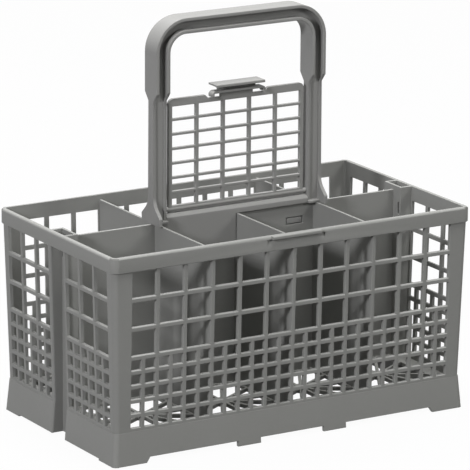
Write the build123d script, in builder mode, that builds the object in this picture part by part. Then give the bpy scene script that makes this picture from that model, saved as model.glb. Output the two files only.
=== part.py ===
from build123d import *
from math import atan, cos, sin
import os

# Cutlery basket for a dishwasher: basket moulding, clip-on handle and hinged lid.
# Millimetres. X runs along the basket, the front faces -Y and +Z is up.
# The origin is on the ground, under the middle of the basket.

# Basket outline
length = 243.0
width = 137.0
body_height = 124.0
rim_height = 9.0
rim_bevel = 0.9
rim_under_bevel = 0.4
corner_radius = 4.5
least_corner_radius = 0.4
wall = 2.0
wall_lean = 2.6
skirt_height = 19.5
skirt_flare = 1.85
skirt_step = 0.3

# Feet along the bottom of the skirt
foot_height = 3.3
foot_slope = 2.3
corner_foot_length = 23.5
corner_foot_depth = 20.0
middle_foot_length = 15.6
middle_foot_offset = 29.3
end_skirt_lift = 1.0

# Lattice of the walls: fine rows below, tall rows above
bar = 2.1
hole_draft = 10.0
long_wall_columns = 12
end_wall_columns = 3
fine_rows = 5
tall_rows = 3
skirt_band = 21.3
top_row_extra = 1.2
long_wall_post = 13.5
end_wall_post = 9.2
end_wall_strip = 2.6

# Channel folded into each end of the basket
channel_width = 14.8
channel_reach = 10.7
channel_wall = 1.6
channel_edge_radius = 1.2
channel_slot_width = 2.0
channel_slot_height = 7.5
channel_slot_drop = 9.6

# Centre wall and dividers
centre_wall = 1.8
divider = 1.6
partition_drop = 3.0
columns_per_compartment = 3

# Floor, with a star of spokes in each compartment
floor_thickness = 2.5
floor_drop = 2.0
star_spokes = 12
star_hub_radius = 6.0
star_bar = 1.8
floor_border = 4.0

# Catch for the latch, on the front rim
catch_width = 33.0
catch_reach = 1.6
catch_height = 2.2
catch_edge_radius = 0.7
catch_recess_width = 39.0
catch_recess_depth = 1.2
catch_recess_height = 3.8

# Handle
handle_rise = 119.0
post_width = 9.4
post_overhang = 3.2
post_depth = 5.8
grip_depth = 14.0
grip_corner_radius = 20.0
flange = 2.1
web = 4.0
shoulder_rise = 70.5
shoulder_height = 5.0
foot_spread = 21.0
foot_straight = 5.0
foot_flare = 7.0
foot_flare_radius = 10.0
foot_edge_radius = 1.5
foot_plate_depth = 10.0
foot_plate = 1.8

# Cross-bar of the handle, which sits on the centre wall
crossbar_depth = 6.6
crossbar_height = 5.2
crossbar_top = 2.4
crossbar_bevel = 1.9

# Tongues of the handle, which hug the centre wall, and their snaps
tongue_length = 17.2
tongue_clearance = 0.2
tongue_end_gap = 0.4
snap_inset = 13.9
snap_window_width = 11.6
snap_window_height = 4.4
snap_window_drop = 8.0
snap_clearance = 0.5

# Lid and its hinge
lid_side_gap = 2.1
lid_thickness = 2.2
lid_stile = 2.6
lid_rail = 4.7
lid_foot_rail = 2.2
lid_columns = 5
lid_rows = 7
lid_column_bar = 2.2
lid_row_bar = 1.6
lid_corner_radius = 3.5
lid_set_back = 2.3
heel_radius = 1.9
heel_clearance = 0.25
pin_radius = 1.5
pin_clearance = 0.08
pin_engagement = 2.8
pin_end_gap = 0.3

# Latch on the free edge of the lid
latch_dip_width = 43.0
latch_dip = 2.2
latch_stem_width = 22.0
latch_plate_width = 36.4
latch_plate_front = 3.9
latch_plate = 1.5
latch_plate_curl = 2.0
latch_plate_set_back = 0.35
latch_web_width = 26.0
latch_web = 1.5
latch_pad_width = 33.0
latch_pad_front = 6.0
latch_pad_back = 4.0
latch_pad = 1.2
latch_catch_gap = 0.85
latch_bead = 0.5
latch_bead_depth = 1.0

# How far a cutter reaches past the face it cuts
overshoot = 0.2

# Heights and insets that follow from the sizes above
rim_bottom = body_height - rim_height
wall_slope = wall_lean / (body_height - skirt_height)
crest_inset = rim_bevel
rim_overhang = crest_inset + wall_slope * rim_height
waist_inset = crest_inset + wall_lean
ground_inset = waist_inset - skirt_flare
floor_top = skirt_height - floor_drop
floor_bottom = floor_top - floor_thickness
floor_top_inset = waist_inset + wall_slope * floor_drop
floor_bottom_inset = ground_inset + skirt_flare * floor_bottom / skirt_height
partition_top = body_height - partition_drop
wall_corner = max(corner_radius - rim_overhang, least_corner_radius)
inner_corner = max(wall_corner - wall, least_corner_radius)

# Lattice spacing
column_pitch = (length - 2 * long_wall_post + bar) / long_wall_columns
end_wall_start = channel_width / 2 + end_wall_strip
end_wall_finish = width / 2 - end_wall_post
end_wall_middle = (end_wall_start + end_wall_finish) / 2
end_column_pitch = (end_wall_finish - end_wall_start + bar) / end_wall_columns
row_units = fine_rows + 2 * tall_rows
row_pitch = (rim_bottom - skirt_band + bar - top_row_extra) / row_units
divider_x = columns_per_compartment * column_pitch

# Handle places
post_outer = divider_x + post_overhang
post_inner = post_outer - post_width
handle_top = body_height + handle_rise
shoulder_bottom = body_height + shoulder_rise
crossbar_height_top = partition_top + crossbar_height
tongue_inner = centre_wall / 2 + tongue_clearance
tongue_outer = crossbar_depth / 2
snap_x = divider_x - snap_inset
snap_window_top = partition_top - snap_window_drop

# Lid places
hinge_height = crossbar_height_top + heel_clearance + heel_radius
lid_half = post_inner - lid_side_gap
lid_top = hinge_height + width / 2 - lid_set_back
plate_top = hinge_height + width / 2 - latch_plate_set_back
pad_bottom = hinge_height + width / 2 + catch_reach + latch_catch_gap


def side_profile(plane, span, bottom, bottom_inset, top, top_inset):
    """Upright profile of the basket across one span, leaning evenly between two insets."""
    bottom_half = span / 2 - bottom_inset
    top_half = span / 2 - top_inset
    with BuildSketch(plane) as profile:
        Polygon((-bottom_half, bottom), (bottom_half, bottom), (top_half, top), (-top_half, top), align=None)
    return profile.sketch


def leaning_block(bottom, bottom_inset, top, top_inset, radius):
    """Four-sided block that leans evenly between two insets, with rounded corners."""
    with BuildPart() as block:
        extrude(side_profile(Plane.XZ, length, bottom, bottom_inset, top, top_inset), amount=width, both=True)
        across = side_profile(Plane.YZ, width, bottom, bottom_inset, top, top_inset)
        extrude(across, amount=length, both=True, mode=Mode.INTERSECT)
        fillet(block.edges().group_by(Axis.Z)[1], radius)
    return block.part


def channel_plan(height, skin):
    """Plan of both end channels, with their walls if skin is the wall thickness."""
    reach = 2 * (channel_reach - channel_wall + skin)
    with BuildSketch(Plane.XY.offset(height)) as plan:
        with Locations((-length / 2, 0), (length / 2, 0)):
            Rectangle(reach, channel_width + 2 * skin)
    return plan.sketch


def channelled_block(bottom, bottom_inset, top, top_inset):
    """Leaning block with a channel in each end, and a rounded edge up each side of the channel's mouth."""
    mouth = channel_width / 2 + overshoot
    with BuildPart() as block:
        add(leaning_block(bottom, bottom_inset, top, top_inset, wall_corner))
        extrude(channel_plan(bottom, 0), amount=top - bottom, mode=Mode.SUBTRACT)
        upright_edges = block.edges().filter_by_position(Axis.Y, -mouth, mouth).group_by(Axis.Z)[1]
        fillet(upright_edges.sort_by(lambda edge: abs(edge.center().X))[-4:], channel_edge_radius)
    return block.part


def wall_plane(inward, along, distance):
    """Plane on the outside of a leaning wall, facing inwards, with its own Y running down from the rim."""
    lean = atan(wall_slope)
    facing = (inward[0] * cos(lean), inward[1] * cos(lean), sin(lean))
    start = (-inward[0] * distance, -inward[1] * distance, rim_bottom)
    return Plane(origin=start, x_dir=along, z_dir=facing).offset(-overshoot)


def lattice(plane, middle, pitch, columns):
    """Holes of one stretch of wall, tall rows under the rim and fine rows above the skirt."""
    fine_bottom = rim_bottom - skirt_band
    fine_top = fine_bottom - fine_rows * row_pitch + bar
    tall_bottom = fine_top - bar
    tall_height = 2 * row_pitch - bar
    top_row_bottom = tall_bottom - 2 * row_pitch * (tall_rows - 1)
    top_row_height = top_row_bottom + overshoot
    tall_middle = tall_bottom - row_pitch * (tall_rows - 1) + bar / 2
    with BuildSketch(plane) as holes:
        with Locations((middle, (fine_bottom + fine_top) / 2)):
            with GridLocations(pitch / 2, row_pitch, 2 * columns, fine_rows):
                Rectangle(pitch / 2 - bar, row_pitch - bar)
        with Locations((middle, tall_middle)):
            with GridLocations(pitch, 2 * row_pitch, columns, tall_rows - 1):
                Rectangle(pitch - bar, tall_height)
        with Locations((middle, top_row_bottom - top_row_height / 2)):
            with GridLocations(pitch, top_row_height, columns, 1):
                Rectangle(pitch - bar, top_row_height)
    return holes.sketch


def floor_stars(height):
    """Openings between the spokes of every star in the floor."""
    cell_length = divider_x - floor_border
    cell_depth = width / 2 - waist_inset - wall - floor_border
    with BuildSketch() as star:
        Rectangle(cell_length, cell_depth)
        RegularPolygon(star_hub_radius, star_spokes, mode=Mode.SUBTRACT)
        with PolarLocations(0, star_spokes // 2, angular_range=180):
            Rectangle(2 * length, star_bar, mode=Mode.SUBTRACT)
    row_spacing = cell_depth + floor_border
    with BuildSketch(Plane.XY.offset(height)) as stars:
        with GridLocations(divider_x, row_spacing, 4, 2):
            add(star.sketch)
    return stars.sketch


def handle_band(plane, band_width):
    """Inverted U of the handle in its own plane, as wide as the band asked for."""
    middle_x = post_outer - post_width / 2
    middle_z = handle_top - post_width / 2
    with BuildSketch(plane) as band:
        with BuildLine():
            FilletPolyline(
                (-middle_x, partition_top),
                (-middle_x, middle_z),
                (middle_x, middle_z),
                (middle_x, partition_top),
                radius=grip_corner_radius - post_width / 2,
            )
        trace(line_width=band_width)
    return band.sketch


def splayed_foot(plane):
    """Side of a handle foot, flaring from the depth of the post to its full spread."""
    flare_bottom = partition_top + foot_straight
    flare_top = flare_bottom + foot_flare
    with BuildSketch(plane) as foot:
        Polygon(
            (-foot_spread / 2, partition_top),
            (-foot_spread / 2, flare_bottom),
            (-post_depth / 2, flare_top),
            (-post_depth / 2, flare_top + foot_flare_radius),
            (post_depth / 2, flare_top + foot_flare_radius),
            (post_depth / 2, flare_top),
            (foot_spread / 2, flare_bottom),
            (foot_spread / 2, partition_top),
            align=None,
        )
        fillet(foot.vertices().group_by(Axis.Y)[2], foot_flare_radius)
        fillet(foot.vertices().group_by(Axis.Y)[1], foot_edge_radius)
    return foot.sketch


# Space inside the walls, before anything divides it
hollow = leaning_block(floor_top, floor_top_inset + wall, body_height, crest_inset + wall, inner_corner)

# Space inside the compartments, between the walls, dividers and end channels
with BuildPart() as compartments:
    add(hollow)
    with BuildSketch(Plane.XY.offset(floor_top)):
        Rectangle(length, centre_wall)
        with Locations((-divider_x, 0), (divider_x, 0)):
            Rectangle(divider, width)
        with Locations((0, -width / 4)):
            Rectangle(divider, width / 2)
    extrude(amount=partition_top - floor_top, mode=Mode.SUBTRACT)
    extrude(channel_plan(floor_top, channel_wall), amount=body_height - floor_top, mode=Mode.SUBTRACT)

# Space under the floor, inside the skirt
with BuildPart() as underside:
    add(leaning_block(0, ground_inset + wall, floor_bottom, floor_bottom_inset + wall, inner_corner))
    extrude(channel_plan(0, channel_wall), amount=floor_bottom, mode=Mode.SUBTRACT)

# Rim that goes all the way round, bevelled above and below, with a catch in front
with BuildPart() as rim:
    with BuildSketch(Plane.XY.offset(rim_bottom)):
        RectangleRounded(length, width, corner_radius)
    extrude(amount=rim_height)
    chamfer(rim.faces().sort_by(Axis.Z)[-1].edges(), rim_bevel)
    chamfer(rim.faces().sort_by(Axis.Z)[0].edges(), rim_under_bevel)
    add(hollow, mode=Mode.SUBTRACT)

    # Catch: a recess in the face of the rim, under a lip
    rim_face = -width / 2
    lip_bottom = body_height - catch_height
    with BuildSketch(Plane.YZ):
        Polygon(
            (rim_face, lip_bottom),
            (rim_face + catch_recess_depth, lip_bottom),
            (rim_face, lip_bottom - catch_recess_height),
            align=None,
        )
    extrude(amount=catch_recess_width / 2, both=True, mode=Mode.SUBTRACT)
    with BuildSketch(Plane.YZ) as lip:
        with Locations((rim_face - catch_reach, lip_bottom)):
            Rectangle(catch_reach + wall, catch_height, align=(Align.MIN, Align.MIN))
        fillet(lip.vertices().group_by(Axis.X)[0], catch_edge_radius)
    extrude(amount=catch_width / 2, both=True)

with BuildPart() as basket:
    # Leaning walls over a flared skirt that stands a little proud of them
    add(channelled_block(0, ground_inset, skirt_height, waist_inset - skirt_step))
    add(channelled_block(skirt_height, waist_inset, body_height, crest_inset))
    add(compartments.part, mode=Mode.SUBTRACT)
    add(underside.part, mode=Mode.SUBTRACT)

    # Open floor
    extrude(floor_stars(floor_bottom), amount=floor_thickness, mode=Mode.SUBTRACT)

    # Feet: the skirt is lifted between them
    corner_foot_x = length / 2 - corner_foot_length
    middle_foot_in = middle_foot_offset - middle_foot_length / 2
    middle_foot_out = middle_foot_offset + middle_foot_length / 2
    with BuildSketch(Plane.XZ):
        Rectangle(2 * middle_foot_in, 2 * foot_height)
        for side in (-1, 1):
            Polygon(
                (side * middle_foot_out, -foot_height),
                (side * middle_foot_out, foot_height),
                (side * (corner_foot_x - foot_slope), foot_height),
                (side * corner_foot_x, 0),
                (side * corner_foot_x, -foot_height),
                align=None,
            )
    extrude(amount=width, both=True, mode=Mode.SUBTRACT)
    with BuildSketch(Plane.YZ):
        Rectangle(width - 2 * corner_foot_depth, 2 * end_skirt_lift)
    extrude(amount=length, both=True, mode=Mode.SUBTRACT)

    # Slots high in the inner wall of each channel
    slot_y = channel_width / 2 - channel_slot_width / 2
    slot_z = body_height - channel_slot_drop - channel_slot_height / 2
    for side in (-1, 1):
        with BuildSketch(Plane.YZ.offset(side * (length / 2 - channel_reach - overshoot))):
            with Locations((-slot_y, slot_z), (slot_y, slot_z)):
                Rectangle(channel_slot_width, channel_slot_height)
        extrude(amount=side * (channel_wall + 2 * overshoot), mode=Mode.SUBTRACT)

    # Windows in the centre wall for the handle's snaps
    with BuildSketch(Plane.XZ):
        with Locations((-snap_x, snap_window_top), (snap_x, snap_window_top)):
            Rectangle(snap_window_width, snap_window_height, align=(Align.CENTER, Align.MAX))
    extrude(amount=centre_wall, both=True, mode=Mode.SUBTRACT)

    # Lattice in the four walls
    cut_depth = wall + 2 * overshoot
    cutters = []
    for side in (-1, 1):
        long_wall = wall_plane((0, side), (side, 0, 0), width / 2 - rim_overhang)
        end_wall = wall_plane((side, 0), (0, -side, 0), length / 2 - rim_overhang)
        stretches = [lattice(long_wall, 0, column_pitch, long_wall_columns)]
        for half in (-1, 1):
            stretches.append(lattice(end_wall, half * end_wall_middle, end_column_pitch, end_wall_columns))
        for holes in stretches:
            cutters.append(extrude(holes, amount=cut_depth, taper=hole_draft, mode=Mode.PRIVATE))
    add(cutters, mode=Mode.SUBTRACT)
    add(rim.part)

with BuildPart() as handle:
    # Inverted U, deep at the grip and slim down the posts
    extrude(handle_band(Plane.XZ, post_width), amount=grip_depth / 2, both=True)
    shoulder_top = shoulder_bottom + shoulder_height
    with BuildSketch(Plane.YZ):
        Polygon(
            (-post_depth / 2, partition_top),
            (post_depth / 2, partition_top),
            (post_depth / 2, shoulder_bottom),
            (grip_depth / 2, shoulder_top),
            (grip_depth / 2, handle_top),
            (-grip_depth / 2, handle_top),
            (-grip_depth / 2, shoulder_top),
            (-post_depth / 2, shoulder_bottom),
            align=None,
        )
    extrude(amount=post_outer, both=True, mode=Mode.INTERSECT)

    # Grooves down both faces leave an I-section
    for side in (-1, 1):
        groove = handle_band(Plane.XZ.offset(side * web / 2), post_width - 2 * flange)
        extrude(groove, amount=side * grip_depth, mode=Mode.SUBTRACT)

    # Splayed feet on the outer flanges
    for side in (-1, 1):
        extrude(splayed_foot(Plane.YZ.offset(side * (post_outer - flange))), amount=side * flange)

    # Plates under the posts
    post_middle = post_outer - post_width / 2
    with BuildSketch(Plane.XY.offset(partition_top)):
        with Locations((-post_middle, 0), (post_middle, 0)):
            Rectangle(post_width, foot_plate_depth)
    extrude(amount=foot_plate)

    # Cross-bar with a bevelled top
    with BuildSketch(Plane.YZ):
        Polygon(
            (-crossbar_depth / 2, partition_top),
            (crossbar_depth / 2, partition_top),
            (crossbar_depth / 2, crossbar_height_top - crossbar_bevel),
            (crossbar_top / 2, crossbar_height_top),
            (-crossbar_top / 2, crossbar_height_top),
            (-crossbar_depth / 2, crossbar_height_top - crossbar_bevel),
            align=None,
        )
    extrude(amount=post_inner, both=True)

    # A tongue in front on the left and behind on the right, each with a snap
    tongue_start = divider / 2 + tongue_end_gap
    tongue_end = divider_x - tongue_start
    snap_width = snap_window_width - 2 * snap_clearance
    snap_height = snap_window_height - 2 * snap_clearance
    for side in (-1, 1):
        with BuildSketch(Plane.XY.offset(partition_top)):
            with Locations((side * (tongue_start + tongue_end) / 2, side * (tongue_inner + tongue_outer) / 2)):
                Rectangle(tongue_end - tongue_start, tongue_outer - tongue_inner)
        extrude(amount=-tongue_length)
        with BuildSketch(Plane.XZ.offset(-side * tongue_inner)):
            with Locations((side * snap_x, snap_window_top - snap_window_height / 2)):
                Rectangle(snap_width, snap_height)
        extrude(amount=side * (tongue_inner + centre_wall / 2 - tongue_clearance))

    # Blind holes for the lid's pins
    with BuildSketch(Plane.YZ):
        with Locations((0, hinge_height)):
            Circle(pin_radius + pin_clearance)
    extrude(amount=post_inner + pin_engagement + pin_end_gap, both=True, mode=Mode.SUBTRACT)

with BuildPart() as lid:
    # Grille with a dip in its free edge
    grille_left = lid_half - lid_stile
    grille_bottom = hinge_height + lid_foot_rail
    grille_top = lid_top - lid_rail
    lid_column_pitch = (2 * grille_left + lid_column_bar) / lid_columns
    lid_row_pitch = (grille_top - grille_bottom + lid_row_bar) / lid_rows
    with BuildSketch(Plane.XZ) as panel:
        with Locations((0, hinge_height)):
            Rectangle(2 * lid_half, lid_top - hinge_height, align=(Align.CENTER, Align.MIN))
        fillet(panel.vertices().group_by(Axis.Y)[-1], lid_corner_radius)
        Polygon(
            (-latch_dip_width / 2, lid_top),
            (-latch_dip_width / 2 + latch_dip, lid_top - latch_dip),
            (latch_dip_width / 2 - latch_dip, lid_top - latch_dip),
            (latch_dip_width / 2, lid_top),
            align=None,
            mode=Mode.SUBTRACT,
        )
        with Locations((0, (grille_bottom + grille_top) / 2)):
            with GridLocations(lid_column_pitch, lid_row_pitch, lid_columns, lid_rows):
                Rectangle(lid_column_pitch - lid_column_bar, lid_row_pitch - lid_row_bar, mode=Mode.SUBTRACT)
    extrude(amount=lid_thickness / 2, both=True)

    # Rounded heel below the hinge, as thick as the grille, and a pin at each end
    with BuildSketch(Plane.YZ):
        with Locations((0, hinge_height)):
            Circle(heel_radius)
            Rectangle(lid_thickness, 2 * heel_radius, mode=Mode.INTERSECT)
    extrude(amount=lid_half, both=True)
    with BuildSketch(Plane.YZ):
        with Locations((0, hinge_height)):
            Circle(pin_radius)
    extrude(amount=post_inner + pin_engagement, both=True)

    # Latch: stem, plate with ends curled down, web and pad with a bead along its front
    with BuildSketch(Plane.XZ):
        with Locations((0, lid_top - latch_dip)):
            Rectangle(latch_stem_width, plate_top - lid_top + latch_dip, align=(Align.CENTER, Align.MIN))
    extrude(amount=lid_thickness / 2, both=True)
    with BuildSketch(Plane.XZ.offset(latch_plate_front)) as plate:
        with Locations((0, plate_top)):
            Rectangle(latch_plate_width, latch_plate + latch_plate_curl, align=(Align.CENTER, Align.MAX))
        fillet(plate.vertices().group_by(Axis.Y)[-1], latch_plate + latch_plate_curl / 2)
        with Locations((0, plate_top - latch_plate)):
            Rectangle(
                latch_plate_width - 2 * latch_plate,
                latch_plate_curl,
                align=(Align.CENTER, Align.MAX),
                mode=Mode.SUBTRACT,
            )
    extrude(amount=-(latch_plate_front + lid_thickness / 2))
    with BuildSketch(Plane.XY.offset(plate_top)):
        Rectangle(latch_web_width, latch_web)
    extrude(amount=pad_bottom - plate_top)
    with BuildSketch(Plane.XY.offset(pad_bottom)):
        with Locations((0, -latch_pad_front)):
            Rectangle(latch_pad_width, latch_pad_front + latch_pad_back, align=(Align.CENTER, Align.MIN))
    extrude(amount=latch_pad)
    with BuildSketch(Plane.XY.offset(pad_bottom)):
        with Locations((0, -latch_pad_front)):
            Rectangle(latch_pad_width, latch_bead_depth, align=(Align.CENTER, Align.MIN))
    extrude(amount=-latch_bead)

os.makedirs("parts", exist_ok=True)

basket.part.label = "basket"
export_step(basket.part, "parts/basket.step")

handle.part.label = "handle"
export_step(handle.part, "parts/handle.step")

lid.part.label = "lid"
export_step(lid.part, "parts/lid.step")
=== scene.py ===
import logging
import math
from dataclasses import dataclass
from enum import Enum

import bmesh
import bpy
from mathutils import Matrix, Vector


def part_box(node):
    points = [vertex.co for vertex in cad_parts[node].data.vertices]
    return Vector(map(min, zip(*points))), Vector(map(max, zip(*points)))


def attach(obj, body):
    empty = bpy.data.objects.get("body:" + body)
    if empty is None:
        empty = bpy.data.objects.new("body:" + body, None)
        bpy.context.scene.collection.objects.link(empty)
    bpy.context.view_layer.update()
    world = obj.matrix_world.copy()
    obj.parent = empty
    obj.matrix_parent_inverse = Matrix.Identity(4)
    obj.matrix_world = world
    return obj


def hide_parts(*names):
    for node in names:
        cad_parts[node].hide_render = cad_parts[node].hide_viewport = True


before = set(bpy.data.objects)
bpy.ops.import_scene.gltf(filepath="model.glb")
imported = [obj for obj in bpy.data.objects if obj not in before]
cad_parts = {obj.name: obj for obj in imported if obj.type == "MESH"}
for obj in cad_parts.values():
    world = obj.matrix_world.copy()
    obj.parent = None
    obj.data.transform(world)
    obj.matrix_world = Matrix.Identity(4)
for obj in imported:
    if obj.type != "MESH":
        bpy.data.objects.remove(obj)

LOG = logging.getLogger("cutlery_basket")

MM = 0.001
TINY = 1e-9
WHITE = (1.0, 1.0, 1.0)
PHOTO_PIXELS = 470
SENSOR_WIDTH = 36.0


class Body(Enum):
    """Rigid bodies that a piece can ride on."""

    BASKET = "basket"
    LID = "lid"


class Facing(Enum):
    """Which way a moulding mark looks."""

    UP = "up"
    DOWN = "down"


class Facets(Enum):
    """How the flat faces of a moulding are divided before its edges are softened."""

    QUADS = "quads"
    WHOLE = "whole"


class Sockets:
    """Short names for the socket types that the node trees use."""

    FLOAT = "NodeSocketFloat"
    COLOUR = "NodeSocketColor"
    VECTOR = "NodeSocketVector"
    INTEGER = "NodeSocketInt"
    MATERIAL = "NodeSocketMaterial"
    GEOMETRY = "NodeSocketGeometry"


class MixPlaces:
    """Places of the sockets on a Mix node, which holds one set for each type of data."""

    FACTOR = 0
    FLOAT_A = 2
    FLOAT_B = 3
    FLOAT_RESULT = 0
    COLOUR_A = 6
    COLOUR_B = 7
    COLOUR_RESULT = 2


def add_socket(tree: bpy.types.NodeTree, name: str, kind: str, output: bool = False) -> str:
    """Adds one socket to the interface of a node tree.

    Args:
        tree: The shader group or geometry tree.
        name: The socket's name.
        kind: Its socket type.
        output: True for an output, False for an input.

    Returns:
        The socket's identifier.
    """
    side = "OUTPUT" if output else "INPUT"
    return tree.interface.new_socket(name=name, in_out=side, socket_type=kind).identifier


def new_object(name: str, mesh: bpy.types.Mesh) -> bpy.types.Object:
    """Links a mesh to the scene as an object at the origin.

    Args:
        name: The object's name.
        mesh: Its mesh.

    Returns:
        The new object.
    """
    piece = bpy.data.objects.new(name, mesh)
    bpy.context.scene.collection.objects.link(piece)
    return piece


def freeze(piece: bpy.types.Object) -> None:
    """Turns the result of a piece's modifiers into its plain mesh, and removes the modifiers.

    Args:
        piece: The object to settle.
    """
    bpy.context.view_layer.update()
    graph = bpy.context.evaluated_depsgraph_get()
    settled = bpy.data.meshes.new_from_object(piece.evaluated_get(graph))
    piece.modifiers.clear()
    old = piece.data
    piece.data = settled
    settled.name = piece.name
    bpy.data.meshes.remove(old)


def run_tree(piece: bpy.types.Object, tree: bpy.types.NodeTree, values: dict[str, object]) -> None:
    """Runs a geometry tree on a piece and keeps the result as its plain mesh.

    Args:
        piece: The object that gets the result.
        tree: The geometry tree.
        values: A value for each named input.
    """
    modifier = piece.modifiers.new(tree.name, "NODES")
    modifier.node_group = tree
    for item in tree.interface.items_tree:
        if item.item_type == "SOCKET" and item.in_out == "INPUT" and item.name in values:
            modifier[item.identifier] = values[item.name]
    freeze(piece)


class SharedGroup:
    """Shader group that is built once and placed in every finish."""

    NAME: str

    @classmethod
    def get(cls) -> bpy.types.NodeTree:
        """Returns the group, built on first use."""
        found = bpy.data.node_groups.get(cls.NAME)
        return found or cls._build()

    @classmethod
    def _build(cls) -> bpy.types.NodeTree:
        """Builds the group, in a way that each kind of group gives."""
        raise NotImplementedError


class GrainGroup(SharedGroup):
    """Fine texture of a spark-eroded mould."""

    NAME = "moulded_grain"
    PIT_DETAIL = 2.0
    PIT_ROUGHNESS = 0.6
    WAVE_DETAIL = 1.0

    @classmethod
    def _build(cls) -> bpy.types.NodeTree:
        """Builds a height made of fine pits over slow waves.

        Returns:
            The finished node group.
        """
        tree = bpy.data.node_groups.new(cls.NAME, "ShaderNodeTree")
        add_socket(tree, "Position", Sockets.VECTOR)
        add_socket(tree, "Pit Scale", Sockets.FLOAT)
        add_socket(tree, "Wave Scale", Sockets.FLOAT)
        add_socket(tree, "Wave Share", Sockets.FLOAT)
        add_socket(tree, "Height", Sockets.FLOAT, output=True)
        nodes, links = tree.nodes, tree.links
        given = nodes.new("NodeGroupInput")
        result = nodes.new("NodeGroupOutput")
        pits = nodes.new("ShaderNodeTexNoise")
        pits.inputs["Detail"].default_value = cls.PIT_DETAIL
        pits.inputs["Roughness"].default_value = cls.PIT_ROUGHNESS
        waves = nodes.new("ShaderNodeTexNoise")
        waves.inputs["Detail"].default_value = cls.WAVE_DETAIL
        blend = nodes.new("ShaderNodeMix")
        blend.data_type = "FLOAT"
        links.new(given.outputs["Position"], pits.inputs["Vector"])
        links.new(given.outputs["Position"], waves.inputs["Vector"])
        links.new(given.outputs["Pit Scale"], pits.inputs["Scale"])
        links.new(given.outputs["Wave Scale"], waves.inputs["Scale"])
        links.new(given.outputs["Wave Share"], blend.inputs[MixPlaces.FACTOR])
        links.new(pits.outputs[0], blend.inputs[MixPlaces.FLOAT_A])
        links.new(waves.outputs[0], blend.inputs[MixPlaces.FLOAT_B])
        links.new(blend.outputs[MixPlaces.FLOAT_RESULT], result.inputs["Height"])
        return tree


class ToneGroup(SharedGroup):
    """Slow drift of colour and gloss across a moulding, with a fine fleck."""

    NAME = "moulded_tone"
    DRIFT_DETAIL = 3.0
    FLECK_DETAIL = 1.0

    @classmethod
    def _build(cls) -> bpy.types.NodeTree:
        """Builds a colour between two tones and a roughness between two limits.

        Returns:
            The finished node group.
        """
        tree = bpy.data.node_groups.new(cls.NAME, "ShaderNodeTree")
        add_socket(tree, "Position", Sockets.VECTOR)
        add_socket(tree, "Dark Tone", Sockets.COLOUR)
        add_socket(tree, "Light Tone", Sockets.COLOUR)
        add_socket(tree, "Drift Scale", Sockets.FLOAT)
        add_socket(tree, "Fleck Scale", Sockets.FLOAT)
        add_socket(tree, "Fleck Share", Sockets.FLOAT)
        add_socket(tree, "Low Roughness", Sockets.FLOAT)
        add_socket(tree, "High Roughness", Sockets.FLOAT)
        add_socket(tree, "Colour", Sockets.COLOUR, output=True)
        add_socket(tree, "Roughness", Sockets.FLOAT, output=True)
        nodes, links = tree.nodes, tree.links
        given = nodes.new("NodeGroupInput")
        result = nodes.new("NodeGroupOutput")
        drift = nodes.new("ShaderNodeTexNoise")
        drift.inputs["Detail"].default_value = cls.DRIFT_DETAIL
        fleck = nodes.new("ShaderNodeTexNoise")
        fleck.inputs["Detail"].default_value = cls.FLECK_DETAIL
        share = nodes.new("ShaderNodeMix")
        share.data_type = "FLOAT"
        tone = nodes.new("ShaderNodeMix")
        tone.data_type = "RGBA"
        gloss = nodes.new("ShaderNodeMix")
        gloss.data_type = "FLOAT"
        for noise, scale in ((drift, "Drift Scale"), (fleck, "Fleck Scale")):
            links.new(given.outputs["Position"], noise.inputs["Vector"])
            links.new(given.outputs[scale], noise.inputs["Scale"])
        links.new(given.outputs["Fleck Share"], share.inputs[MixPlaces.FACTOR])
        links.new(drift.outputs[0], share.inputs[MixPlaces.FLOAT_A])
        links.new(fleck.outputs[0], share.inputs[MixPlaces.FLOAT_B])
        for mixed in (tone, gloss):
            links.new(share.outputs[MixPlaces.FLOAT_RESULT], mixed.inputs[MixPlaces.FACTOR])
        links.new(given.outputs["Dark Tone"], tone.inputs[MixPlaces.COLOUR_A])
        links.new(given.outputs["Light Tone"], tone.inputs[MixPlaces.COLOUR_B])
        links.new(given.outputs["High Roughness"], gloss.inputs[MixPlaces.FLOAT_A])
        links.new(given.outputs["Low Roughness"], gloss.inputs[MixPlaces.FLOAT_B])
        links.new(tone.outputs[MixPlaces.COLOUR_RESULT], result.inputs["Colour"])
        links.new(gloss.outputs[MixPlaces.FLOAT_RESULT], result.inputs["Roughness"])
        return tree


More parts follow.
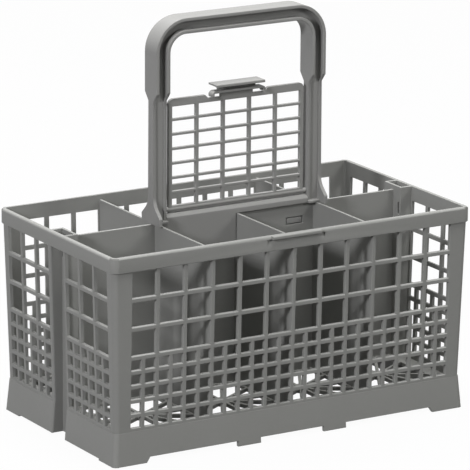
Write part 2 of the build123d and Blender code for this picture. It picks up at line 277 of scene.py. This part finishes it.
@dataclass(frozen=True)
class PlasticFinish:
    """Matte polypropylene straight from a lightly textured mould."""

    name: str
    dark_tone: tuple[float, float, float]
    light_tone: tuple[float, float, float]
    low_roughness: float
    high_roughness: float
    pit_scale: float
    pit_depth: float
    drift_scale: float = 22.0
    fleck_scale: float = 900.0
    fleck_share: float = 0.35
    wave_scale: float = 60.0
    wave_share: float = 0.3
    bump_strength: float = 0.6
    specular: float = 0.22

    def material(self) -> bpy.types.Material:
        """Returns the material for this finish, built on first use."""
        found = bpy.data.materials.get(self.name)
        return found or self._build()

    def _build(self) -> bpy.types.Material:
        """Builds the material from the shared grain and tone groups.

        Returns:
            The finished material.
        """
        material = bpy.data.materials.new(self.name)
        material.use_nodes = True
        nodes, links = material.node_tree.nodes, material.node_tree.links
        shader = nodes["Principled BSDF"]
        shader.inputs["Specular IOR Level"].default_value = self.specular
        place = nodes.new("ShaderNodeTexCoord")
        tone = nodes.new("ShaderNodeGroup")
        tone.node_tree = ToneGroup.get()
        grain = nodes.new("ShaderNodeGroup")
        grain.node_tree = GrainGroup.get()
        bump = nodes.new("ShaderNodeBump")
        settings = (
            (tone, "Dark Tone", (*self.dark_tone, 1.0)),
            (tone, "Light Tone", (*self.light_tone, 1.0)),
            (tone, "Drift Scale", self.drift_scale),
            (tone, "Fleck Scale", self.fleck_scale),
            (tone, "Fleck Share", self.fleck_share),
            (tone, "Low Roughness", self.low_roughness),
            (tone, "High Roughness", self.high_roughness),
            (grain, "Pit Scale", self.pit_scale),
            (grain, "Wave Scale", self.wave_scale),
            (grain, "Wave Share", self.wave_share),
            (bump, "Strength", self.bump_strength),
            (bump, "Distance", self.pit_depth),
        )
        for node, socket, value in settings:
            node.inputs[socket].default_value = value
        links.new(place.outputs["Object"], tone.inputs["Position"])
        links.new(place.outputs["Object"], grain.inputs["Position"])
        links.new(tone.outputs["Colour"], shader.inputs["Base Color"])
        links.new(tone.outputs["Roughness"], shader.inputs["Roughness"])
        links.new(grain.outputs["Height"], bump.inputs["Height"])
        links.new(bump.outputs["Normal"], shader.inputs["Normal"])
        return material


BASKET_FINISH = PlasticFinish(
    name="basket_plastic",
    dark_tone=(0.205, 0.207, 0.194),
    light_tone=(0.235, 0.237, 0.224),
    low_roughness=0.46,
    high_roughness=0.6,
    pit_scale=2600.0,
    pit_depth=0.03 * MM,
)
HANDLE_FINISH = PlasticFinish(
    name="handle_plastic",
    dark_tone=(0.205, 0.205, 0.195),
    light_tone=(0.235, 0.235, 0.225),
    low_roughness=0.38,
    high_roughness=0.52,
    pit_scale=3200.0,
    pit_depth=0.02 * MM,
)
LID_FINISH = PlasticFinish(
    name="lid_plastic",
    dark_tone=(0.21, 0.21, 0.2),
    light_tone=(0.24, 0.24, 0.228),
    low_roughness=0.42,
    high_roughness=0.56,
    pit_scale=3000.0,
    pit_depth=0.02 * MM,
)


@dataclass(frozen=True)
class Zone:
    """Band round the outside of a moulding whose edges have a rounding of their own."""

    radius: float
    crown: float
    low: float
    high: float
    depth: float
    level_limit: float = 0.9

    def holds(self, point: Vector, box: tuple[Vector, Vector]) -> bool:
        """Tells whether a point lies in the band.

        Args:
            point: The point.
            box: The lowest and highest corners of the moulding.

        Returns:
            True where the point is between the heights and close enough to a side.
        """
        gaps = [abs(point[i] - corner[i]) for corner in box for i in (0, 1)]
        return self.low < point.z < self.high and min(gaps) < self.depth

    def rounding(self, edge: bmesh.types.BMEdge) -> float:
        """Gives the rounding of an edge, which has its own size beside a face that looks up.

        Args:
            edge: An edge in the band.

        Returns:
            The radius.
        """
        level = any(face.normal.z > self.level_limit for face in edge.link_faces)
        return self.crown if level else self.radius


@dataclass
class Moulding:
    """One plastic moulding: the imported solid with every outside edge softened."""

    node: str
    piece: str
    body: Body
    finish: PlasticFinish
    facets: Facets
    edge_radius: float
    zones: tuple[Zone, ...] = ()
    edge_segments: int = 2
    weld: float = 0.002 * MM
    flat_angle: float = math.radians(0.4)
    sharp_angle: float = math.radians(28.0)
    quad_angle: float = math.radians(40.0)
    break_angle: float = math.radians(50.0)
    thin_factor: float = 2.1
    fold_dot: float = -0.7
    level_dot: float = 0.9999
    level_welds: float = 1.5
    shading_weight: int = 90

    def build(self) -> bpy.types.Object:
        """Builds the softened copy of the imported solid.

        Returns:
            The finished piece, at the origin.
        """
        work = self._merged()
        softened = self._weigh_edges(work)
        piece = new_object(self.piece, bpy.data.meshes.new(self.piece))
        self._store(work, piece)
        soften = piece.modifiers.new("soft_edges", "BEVEL")
        soften.limit_method = "WEIGHT"
        soften.offset_type = "OFFSET"
        soften.width = self._widest()
        soften.segments = self.edge_segments
        soften.use_clamp_overlap = False
        freeze(piece)
        work = bmesh.new()
        work.from_mesh(piece.data)
        mended, left = self._mend(work)
        self._part_shading(work)
        self._store(work, piece)
        even = piece.modifiers.new("even_shading", "WEIGHTED_NORMAL")
        even.mode = "FACE_AREA"
        even.weight = self.shading_weight
        even.keep_sharp = True
        freeze(piece)
        faces = len(piece.data.polygons)
        LOG.info("%s: %d edges softened, %d flats mended, %d folds left, %d faces",
                 self.piece, softened, mended, left, faces)
        return piece

    def _part_shading(self, work: bmesh.types.BMesh) -> None:
        """Shades a mesh smooth, with a break at the edges that stayed sharp.

        Args:
            work: The rounded mesh.
        """
        work.normal_update()
        for face in work.faces:
            face.smooth = True
        for edge in work.edges:
            edge.smooth = edge.calc_face_angle(0.0) < self.break_angle

    @staticmethod
    def _store(work: bmesh.types.BMesh, piece: bpy.types.Object) -> None:
        """Puts a working mesh into a piece, without the normals that the solid came with.

        Args:
            work: The working mesh, which is freed.
            piece: The object that takes it.
        """
        work.to_mesh(piece.data)
        work.free()
        stale = piece.data.attributes.get("custom_normal")
        if stale:
            piece.data.attributes.remove(stale)

    def _widest(self) -> float:
        """Returns the largest rounding on this moulding."""
        own = [size for zone in self.zones for size in (zone.radius, zone.crown)]
        return max([self.edge_radius] + own)

    def _merged(self) -> bmesh.types.BMesh:
        """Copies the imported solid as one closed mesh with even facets.

        Returns:
            The mesh to work on.
        """
        work = bmesh.new()
        work.from_mesh(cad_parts[self.node].data)
        bmesh.ops.remove_doubles(work, verts=work.verts, dist=self.weld)
        work.normal_update()
        joined = [edge for edge in work.edges if edge.is_manifold]
        flat = [edge for edge in joined if edge.calc_face_angle(0.0) < self.flat_angle]
        bmesh.ops.beautify_fill(work, faces=work.faces[:], edges=flat, method="ANGLE")
        if self.facets is Facets.QUADS:
            bmesh.ops.join_triangles(
                work,
                faces=work.faces[:],
                angle_face_threshold=self.flat_angle,
                angle_shape_threshold=self.quad_angle,
            )
        else:
            bmesh.ops.dissolve_limit(
                work,
                angle_limit=self.flat_angle,
                verts=work.verts,
                edges=work.edges,
            )
        work.normal_update()
        return work

    def _breadths(self, work: bmesh.types.BMesh) -> dict[bmesh.types.BMFace, float]:
        """Measures how broad the flat region round each face is.

        Args:
            work: The merged mesh.

        Returns:
            Twice the area over the border's length, for each face's region.
        """
        breadths = {}
        for start in work.faces:
            if start in breadths:
                continue
            region, queue = {start}, [start]
            area = border = 0.0
            while queue:
                face = queue.pop()
                area += face.calc_area()
                for edge in face.edges:
                    flat = edge.calc_face_angle(0.0) < self.flat_angle
                    border += 0.0 if flat else edge.calc_length()
                    near = [other for other in edge.link_faces if flat and other not in region]
                    region.update(near)
                    queue.extend(near)
            breadth = 2 * area / max(border, TINY)
            breadths.update((face, breadth) for face in region)
        return breadths

    def _weigh_edges(self, work: bmesh.types.BMesh) -> int:
        """Marks the sharp outside edges that have room for their rounding on both sides.

        Args:
            work: The merged mesh, which gets a weight on each edge to round.

        Returns:
            The number of edges marked.
        """
        breadths = self._breadths(work)
        weights = work.edges.layers.float.new("bevel_weight_edge")
        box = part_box(self.node)
        marked = 0
        for edge in work.edges:
            if not edge.is_manifold or not edge.is_convex:
                continue
            if edge.calc_face_angle(0.0) < self.sharp_angle:
                continue
            middle = (edge.verts[0].co + edge.verts[1].co) / 2
            own = [zone.rounding(edge) for zone in self.zones if zone.holds(middle, box)]
            radius = own[0] if own else self.edge_radius
            room = min([edge.calc_length()] + [breadths[face] for face in edge.link_faces])
            if room > self.thin_factor * radius:
                edge[weights] = radius / self._widest()
                marked += 1
        return marked

    def _folds(self, work: bmesh.types.BMesh) -> list[bmesh.types.BMEdge]:
        """Returns the edges where one triangle lies folded back over its neighbour."""
        pairs = [(edge, edge.link_faces) for edge in work.edges if len(edge.link_faces) == 2]
        return [edge for edge, (one, two) in pairs if one.normal.dot(two.normal) < self.fold_dot]

    def _mend(self, work: bmesh.types.BMesh) -> tuple[int, int]:
        """Fills again every flat region in which the rounding folded a triangle over.

        Args:
            work: The rounded mesh, which is left in triangles.

        Returns:
            The number of regions filled again and the number of folds left.
        """
        bmesh.ops.triangulate(work, faces=work.faces[:])
        bmesh.ops.dissolve_degenerate(work, dist=self.weld / 2, edges=work.edges[:])
        bmesh.ops.triangulate(work, faces=work.faces[:])
        work.normal_update()
        mended = 0
        for edge in self._folds(work):
            if edge.is_valid and len(edge.link_faces) == 2:
                larger = max(edge.link_faces, key=lambda face: face.calc_area())
                mended += self._refill(work, larger)
        bmesh.ops.recalc_face_normals(work, faces=work.faces[:])
        return mended, len(self._folds(work))

    def _refill(self, work: bmesh.types.BMesh, start: bmesh.types.BMFace) -> int:
        """Clears the flat region round a face and fills its border with new triangles.

        Args:
            work: The rounded mesh, in triangles.
            start: A face of the region.

        Returns:
            1 where the region was filled again, 0 where it is a single face.
        """
        normal, base = start.normal.copy(), start.verts[0].co.copy()
        reach = self.level_welds * self.weld
        region, queue = {start}, [start]
        while queue:
            for edge in queue.pop().edges:
                for face in edge.link_faces:
                    height = max(abs((corner.co - base).dot(normal)) for corner in face.verts)
                    level = abs(face.normal.dot(normal)) > self.level_dot and height < reach
                    if level and face not in region:
                        region.add(face)
                        queue.append(face)
        if len(region) == 1:
            return 0
        edges = {edge for face in region for edge in face.edges}
        border = [edge for edge in edges if sum(face in region for face in edge.link_faces) == 1]
        inside = list(edges.difference(border))
        bmesh.ops.delete(work, geom=list(region), context="FACES_ONLY")
        loose = [edge for edge in inside if edge.is_valid and not edge.link_faces]
        bmesh.ops.delete(work, geom=loose, context="EDGES")
        bmesh.ops.triangle_fill(work, use_beauty=True, edges=border, normal=normal)
        work.normal_update()
        return 1

    def dress(self, piece: bpy.types.Object) -> None:
        """Gives the piece its finish and puts it in the place of its node.

        Args:
            piece: The object that build returned.
        """
        piece.data.materials.clear()
        piece.data.materials.append(self.finish.material())
        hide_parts(self.node)
        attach(piece, self.body.value)


@dataclass
class StarMarks:
    """Round marks that the mould leaves on the hub of every star in the floor."""

    piece: str
    facing: Facing
    radius: float
    height: float
    level: float
    pitch_x: float = 54.525 * MM
    pitch_y: float = 63.0 * MM
    columns: int = 4
    rows: int = 2
    sides: int = 20
    shoulder: float = 0.8
    sink: float = 0.05 * MM
    tree_name: str = "star_marks"

    def _tree(self) -> bpy.types.NodeTree:
        """Builds the geometry tree of a grid of low round marks, on first use.

        Returns:
            The tree, which both kinds of mark share.
        """
        found = bpy.data.node_groups.get(self.tree_name)
        if found:
            return found
        tree = bpy.data.node_groups.new(self.tree_name, "GeometryNodeTree")
        add_socket(tree, "Geometry", Sockets.GEOMETRY)
        add_socket(tree, "Columns", Sockets.INTEGER)
        add_socket(tree, "Rows", Sockets.INTEGER)
        add_socket(tree, "Length", Sockets.FLOAT)
        add_socket(tree, "Depth", Sockets.FLOAT)
        add_socket(tree, "Place", Sockets.VECTOR)
        add_socket(tree, "Sides", Sockets.INTEGER)
        add_socket(tree, "Bottom Radius", Sockets.FLOAT)
        add_socket(tree, "Top Radius", Sockets.FLOAT)
        add_socket(tree, "Height", Sockets.FLOAT)
        add_socket(tree, "Material", Sockets.MATERIAL)
        add_socket(tree, "Geometry", Sockets.GEOMETRY, output=True)
        nodes, links = tree.nodes, tree.links
        given = nodes.new("NodeGroupInput")
        result = nodes.new("NodeGroupOutput")
        grid = nodes.new("GeometryNodeMeshGrid")
        links.new(given.outputs["Length"], grid.inputs["Size X"])
        links.new(given.outputs["Depth"], grid.inputs["Size Y"])
        links.new(given.outputs["Columns"], grid.inputs["Vertices X"])
        links.new(given.outputs["Rows"], grid.inputs["Vertices Y"])
        mark = nodes.new("GeometryNodeMeshCone")
        links.new(given.outputs["Sides"], mark.inputs["Vertices"])
        links.new(given.outputs["Bottom Radius"], mark.inputs["Radius Bottom"])
        links.new(given.outputs["Top Radius"], mark.inputs["Radius Top"])
        links.new(given.outputs["Height"], mark.inputs["Depth"])
        shift = nodes.new("GeometryNodeSetPosition")
        links.new(grid.outputs["Mesh"], shift.inputs["Geometry"])
        links.new(given.outputs["Place"], shift.inputs["Offset"])
        copies = nodes.new("GeometryNodeInstanceOnPoints")
        links.new(shift.outputs["Geometry"], copies.inputs["Points"])
        links.new(mark.outputs["Mesh"], copies.inputs["Instance"])
        real = nodes.new("GeometryNodeRealizeInstances")
        links.new(copies.outputs["Instances"], real.inputs["Geometry"])
        paint = nodes.new("GeometryNodeSetMaterial")
        links.new(real.outputs["Geometry"], paint.inputs["Geometry"])
        links.new(given.outputs["Material"], paint.inputs["Material"])
        links.new(paint.outputs["Geometry"], result.inputs["Geometry"])
        return tree

    def build(self, finish: PlasticFinish) -> bpy.types.Object:
        """Builds one mark on every hub.

        Args:
            finish: The finish of the moulding that carries the marks.

        Returns:
            The finished piece, riding on the basket.
        """
        piece = new_object(self.piece, bpy.data.meshes.new(self.piece))
        upward = self.facing is Facing.UP
        low = self.level - self.sink if upward else self.level - self.height
        crown = self.radius * self.shoulder
        values = {
            "Columns": self.columns,
            "Rows": self.rows,
            "Length": self.pitch_x * (self.columns - 1),
            "Depth": self.pitch_y * (self.rows - 1),
            "Place": (0.0, 0.0, low),
            "Sides": self.sides,
            "Bottom Radius": self.radius if upward else crown,
            "Top Radius": crown if upward else self.radius,
            "Height": self.height + self.sink,
            "Material": finish.material(),
        }
        run_tree(piece, self._tree(), values)
        piece.data.shade_flat()
        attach(piece, Body.BASKET.value)
        LOG.info("%s: %d marks", self.piece, self.columns * self.rows)
        return piece


@dataclass
class PartingLine:
    """Fine raised line where the two halves of the handle's mould meet."""

    piece: str
    node: str
    bottom: float
    corner_radius: float
    ridge: float
    sink: float
    corner_steps: int = 14
    section_sides: int = 8
    tree_name: str = "parting_line"

    def _tree(self) -> bpy.types.NodeTree:
        """Builds the geometry tree of a round ridge along a path, on first use.

        Returns:
            The tree.
        """
        found = bpy.data.node_groups.get(self.tree_name)
        if found:
            return found
        tree = bpy.data.node_groups.new(self.tree_name, "GeometryNodeTree")
        add_socket(tree, "Geometry", Sockets.GEOMETRY)
        add_socket(tree, "Corner Radius", Sockets.FLOAT)
        add_socket(tree, "Corner Steps", Sockets.INTEGER)
        add_socket(tree, "Ridge", Sockets.FLOAT)
        add_socket(tree, "Section Sides", Sockets.INTEGER)
        add_socket(tree, "Material", Sockets.MATERIAL)
        add_socket(tree, "Geometry", Sockets.GEOMETRY, output=True)
        nodes, links = tree.nodes, tree.links
        given = nodes.new("NodeGroupInput")
        result = nodes.new("NodeGroupOutput")
        path = nodes.new("GeometryNodeMeshToCurve")
        links.new(given.outputs["Geometry"], path.inputs["Mesh"])
        bend = nodes.new("GeometryNodeFilletCurve")
        bend.mode = "POLY"
        bend.inputs["Limit Radius"].default_value = True
        links.new(path.outputs["Curve"], bend.inputs["Curve"])
        links.new(given.outputs["Corner Radius"], bend.inputs["Radius"])
        links.new(given.outputs["Corner Steps"], bend.inputs["Count"])
        section = nodes.new("GeometryNodeCurvePrimitiveCircle")
        links.new(given.outputs["Section Sides"], section.inputs["Resolution"])
        links.new(given.outputs["Ridge"], section.inputs["Radius"])
        skin = nodes.new("GeometryNodeCurveToMesh")
        skin.inputs["Fill Caps"].default_value = True
        links.new(bend.outputs["Curve"], skin.inputs["Curve"])
        links.new(section.outputs["Curve"], skin.inputs["Profile Curve"])
        real = nodes.new("GeometryNodeRealizeInstances")
        links.new(skin.outputs["Mesh"], real.inputs["Geometry"])
        paint = nodes.new("GeometryNodeSetMaterial")
        links.new(real.outputs["Geometry"], paint.inputs["Geometry"])
        links.new(given.outputs["Material"], paint.inputs["Material"])
        links.new(paint.outputs["Geometry"], result.inputs["Geometry"])
        return tree

    def build(self, finish: PlasticFinish) -> bpy.types.Object:
        """Builds the line up one post, over the grip and down the other post.

        Args:
            finish: The finish of the handle.

        Returns:
            The finished piece, riding on the basket's body.
        """
        mesh = bpy.data.meshes.new(self.piece)
        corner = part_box(self.node)[1]
        half_span, top = corner.x - self.sink, corner.z - self.sink
        points = [
            (-half_span, 0.0, self.bottom),
            (-half_span, 0.0, top),
            (half_span, 0.0, top),
            (half_span, 0.0, self.bottom),
        ]
        mesh.from_pydata(points, [(0, 1), (1, 2), (2, 3)], [])
        piece = new_object(self.piece, mesh)
        values = {
            "Corner Radius": self.corner_radius,
            "Corner Steps": self.corner_steps,
            "Ridge": self.ridge,
            "Section Sides": self.section_sides,
            "Material": finish.material(),
        }
        run_tree(piece, self._tree(), values)
        piece.data.shade_smooth()
        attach(piece, Body.BASKET.value)
        LOG.info("%s: %d faces", self.piece, len(piece.data.polygons))
        return piece


@dataclass(frozen=True)
class PhotoCamera:
    """Camera at the photograph's place, fitted to the corners of the rim."""

    azimuth: float = -31.062
    elevation: float = 14.872
    roll: float = 0.366
    focal_pixels: float = 4127.194
    shift_right: float = 0.170 * MM
    shift_up: float = 16.550 * MM
    distance: float = 2436.606 * MM
    rim_height: float = 124.0 * MM
    clip_end: float = 50.0

    def build(self) -> bpy.types.Object:
        """Places the camera and makes it the scene's own.

        Returns:
            The camera object.
        """
        turn, tilt, lean = (math.radians(a) for a in (self.azimuth, self.elevation, self.roll))
        level = Vector((math.cos(turn), math.sin(turn), 0.0))
        behind = Vector((math.sin(turn), -math.cos(turn), 0.0))
        back = behind * math.cos(tilt) + Vector((0.0, 0.0, math.sin(tilt)))
        rise = back.cross(level)
        right = level * math.cos(lean) + rise * math.sin(lean)
        up = rise * math.cos(lean) - level * math.sin(lean)
        eye = back * self.distance - right * self.shift_right - up * self.shift_up
        eye.z += self.rim_height
        data = bpy.data.cameras.new("photo_camera")
        data.sensor_width = SENSOR_WIDTH
        data.lens = SENSOR_WIDTH * self.focal_pixels / PHOTO_PIXELS
        data.clip_end = self.clip_end
        camera = bpy.data.objects.new("photo_camera", data)
        bpy.context.scene.collection.objects.link(camera)
        turned = Matrix((right, up, back)).transposed().to_4x4()
        camera.matrix_world = Matrix.Translation(eye) @ turned
        bpy.context.scene.camera = camera
        return camera


@dataclass(frozen=True)
class SoftBox:
    """One square studio lamp that looks at a point."""

    name: str
    place: tuple[float, float, float]
    size: float
    power: float
    colour: tuple[float, float, float] = WHITE
    target: tuple[float, float, float] = (0.0, 0.0, 0.1)

    def build(self) -> bpy.types.Object:
        """Hangs the lamp and aims it at its target.

        Returns:
            The lamp object.
        """
        data = bpy.data.lights.new(self.name, "AREA")
        data.size = self.size
        data.energy = self.power
        data.color = self.colour
        lamp = bpy.data.objects.new(self.name, data)
        bpy.context.scene.collection.objects.link(lamp)
        aim = Vector(self.target) - Vector(self.place)
        turned = aim.to_track_quat("-Z", "Y").to_matrix().to_4x4()
        lamp.matrix_world = Matrix.Translation(self.place) @ turned
        return lamp


@dataclass(frozen=True)
class Studio:
    """White studio: lamps, a pale floor that keeps a soft shadow, and a white surround."""

    floor_half: float = 8.0
    floor_drop: float = 0.1 * MM
    floor_tone: float = 0.15
    floor_glow: float = 0.9
    glow_strength: float = 1.07
    surround: float = 0.02
    lamps: tuple[SoftBox, ...] = (
        SoftBox("key", (-1.9, -0.8, 0.95), 0.35, 32.0, (0.99, 0.985, 1.03)),
        SoftBox("fill", (1.0, -1.9, 1.0), 0.6, 14.0),
        SoftBox("overhead", (0.0, -0.4, 2.0), 0.8, 38.0),
        SoftBox("back_top", (0.0, 0.9, 1.9), 0.8, 46.0, (1.0, 0.99, 1.02)),
    )

    def build(self) -> None:
        """Builds the lamps, the floor and the surround."""
        for lamp in self.lamps:
            lamp.build()
            LOG.info("lamp %s", lamp.name)
        self._floor()
        self._surround()

    @staticmethod
    def _seen_directly(tree: bpy.types.NodeTree) -> bpy.types.NodeSocket:
        """Adds nodes that give 1 for rays from the camera or from a glossy surface.

        Args:
            tree: The tree of the material or world.

        Returns:
            The socket with the result.
        """
        rays = tree.nodes.new("ShaderNodeLightPath")
        either = tree.nodes.new("ShaderNodeMath")
        either.operation = "MAXIMUM"
        tree.links.new(rays.outputs["Is Camera Ray"], either.inputs[0])
        tree.links.new(rays.outputs["Is Glossy Ray"], either.inputs[1])
        return either.outputs[0]

    def _floor(self) -> None:
        """Builds the pale floor, which looks white but still takes a shadow."""
        half, level = self.floor_half, -self.floor_drop
        mesh = bpy.data.meshes.new("floor")
        sides = ((-half, -half), (half, -half), (half, half), (-half, half))
        mesh.from_pydata([(x, y, level) for x, y in sides], [], [(0, 1, 2, 3)])
        floor = new_object("floor", mesh)
        material = bpy.data.materials.new("floor_paper")
        material.use_nodes = True
        tree = material.node_tree
        tree.nodes.clear()
        paper = tree.nodes.new("ShaderNodeBsdfDiffuse")
        paper.inputs["Color"].default_value = (self.floor_tone,) * 3 + (1.0,)
        glow = tree.nodes.new("ShaderNodeEmission")
        glow.inputs["Strength"].default_value = self.glow_strength
        share = tree.nodes.new("ShaderNodeMath")
        share.operation = "MULTIPLY"
        share.inputs[1].default_value = self.floor_glow
        blend = tree.nodes.new("ShaderNodeMixShader")
        result = tree.nodes.new("ShaderNodeOutputMaterial")
        tree.links.new(self._seen_directly(tree), share.inputs[0])
        tree.links.new(share.outputs[0], blend.inputs["Fac"])
        tree.links.new(paper.outputs[0], blend.inputs[1])
        tree.links.new(glow.outputs[0], blend.inputs[2])
        tree.links.new(blend.outputs[0], result.inputs["Surface"])
        mesh.materials.append(material)

    def _surround(self) -> None:
        """Builds the world: white where it is seen, softer where it lights the object."""
        world = bpy.data.worlds.new("white_surround")
        world.use_nodes = True
        bpy.context.scene.world = world
        tree = world.node_tree
        tree.nodes.clear()
        soft = tree.nodes.new("ShaderNodeBackground")
        soft.inputs["Strength"].default_value = self.surround
        white = tree.nodes.new("ShaderNodeBackground")
        for shade in (soft, white):
            shade.inputs["Color"].default_value = (*WHITE, 1.0)
        blend = tree.nodes.new("ShaderNodeMixShader")
        result = tree.nodes.new("ShaderNodeOutputWorld")
        tree.links.new(self._seen_directly(tree), blend.inputs["Fac"])
        tree.links.new(soft.outputs[0], blend.inputs[1])
        tree.links.new(white.outputs[0], blend.inputs[2])
        tree.links.new(blend.outputs[0], result.inputs["Surface"])


RIM_FOOT = 114.9 * MM
LATTICE = Zone(radius=0.12 * MM, crown=0.5 * MM, low=19.8 * MM, high=RIM_FOOT, depth=6.5 * MM)
RIM = Zone(radius=0.58 * MM, crown=0.58 * MM, low=RIM_FOOT, high=124.1 * MM, depth=3.5 * MM)
MOULDINGS = (
    Moulding(
        node="basket",
        piece="basket_moulding",
        body=Body.BASKET,
        finish=BASKET_FINISH,
        facets=Facets.QUADS,
        edge_radius=0.3 * MM,
        zones=(LATTICE, RIM),
    ),
    Moulding(
        node="handle",
        piece="handle_moulding",
        body=Body.BASKET,
        finish=HANDLE_FINISH,
        facets=Facets.WHOLE,
        edge_radius=0.4 * MM,
    ),
    Moulding(
        node="lid",
        piece="lid_moulding",
        body=Body.LID,
        finish=LID_FINISH,
        facets=Facets.WHOLE,
        edge_radius=0.3 * MM,
    ),
)
MARKS = (
    StarMarks(
        piece="gate_marks",
        facing=Facing.UP,
        radius=1.6 * MM,
        height=0.35 * MM,
        level=17.5 * MM,
    ),
    StarMarks(
        piece="ejector_marks",
        facing=Facing.DOWN,
        radius=3.2 * MM,
        height=0.2 * MM,
        level=15.0 * MM,
        shoulder=0.94,
    ),
)
HANDLE_LINE = PartingLine(
    piece="handle_parting_line",
    node="handle",
    bottom=136.0 * MM,
    corner_radius=20.0 * MM,
    ridge=0.1 * MM,
    sink=0.06 * MM,
)


def main() -> None:
    """Builds the dressed basket and the studio round it."""
    logging.basicConfig(level=logging.INFO, format="%(name)s: %(message)s")
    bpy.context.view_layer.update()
    bpy.context.scene.view_settings.view_transform = "Standard"
    PhotoCamera().build()
    for moulding in MOULDINGS:
        moulding.dress(moulding.build())
    for marks in MARKS:
        marks.build(BASKET_FINISH)
    HANDLE_LINE.build(HANDLE_FINISH)
    Studio().build()


if __name__ == "__main__":
    main()
